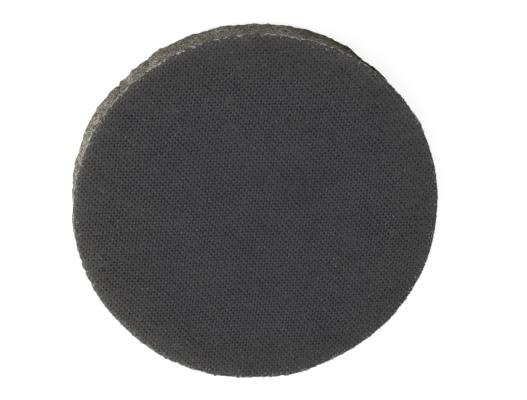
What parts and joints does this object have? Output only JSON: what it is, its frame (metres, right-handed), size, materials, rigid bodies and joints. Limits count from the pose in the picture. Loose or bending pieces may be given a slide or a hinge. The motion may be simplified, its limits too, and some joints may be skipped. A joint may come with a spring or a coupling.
{
  "type": "finishing disc",
  "caption": "Round foam-backed finishing and polishing disc: abrasive-coated knitted face, open-cell foam core and loop-fabric back.",
  "frame": {"origin": "centre of the loop-covered back, on the surface the disc lies on", "axes": "+Z out of the abrasive face, away from the machine; +X along the courses of the knitted face cloth"},
  "size_m": [0.077, 0.077, 0.0084],
  "materials": {
    "loop_nylon": "matte",
    "loop_cloth": "matte",
    "adhesive": "satin",
    "foam": "matte",
    "knitted_cloth": "matte",
    "abrasive": "matte"
  },
  "bodies": {
    "backing": {"loop_pile": "loop_nylon", "loop_ground": "loop_cloth", "rear_bond": "adhesive", "foam_core": "foam"},
    "face": {"face_bond": "adhesive", "face_cloth": "knitted_cloth", "abrasive_coat": "abrasive"}
  },
  "joints": [
    {"name": "foam_compression", "type": "slide", "parent": "backing", "child": "face", "axis": [0, 0, -1], "range_m": [0, 0.0025], "stiffness_N_per_m": 13000, "deforming": ["foam_core"]}
  ]
}
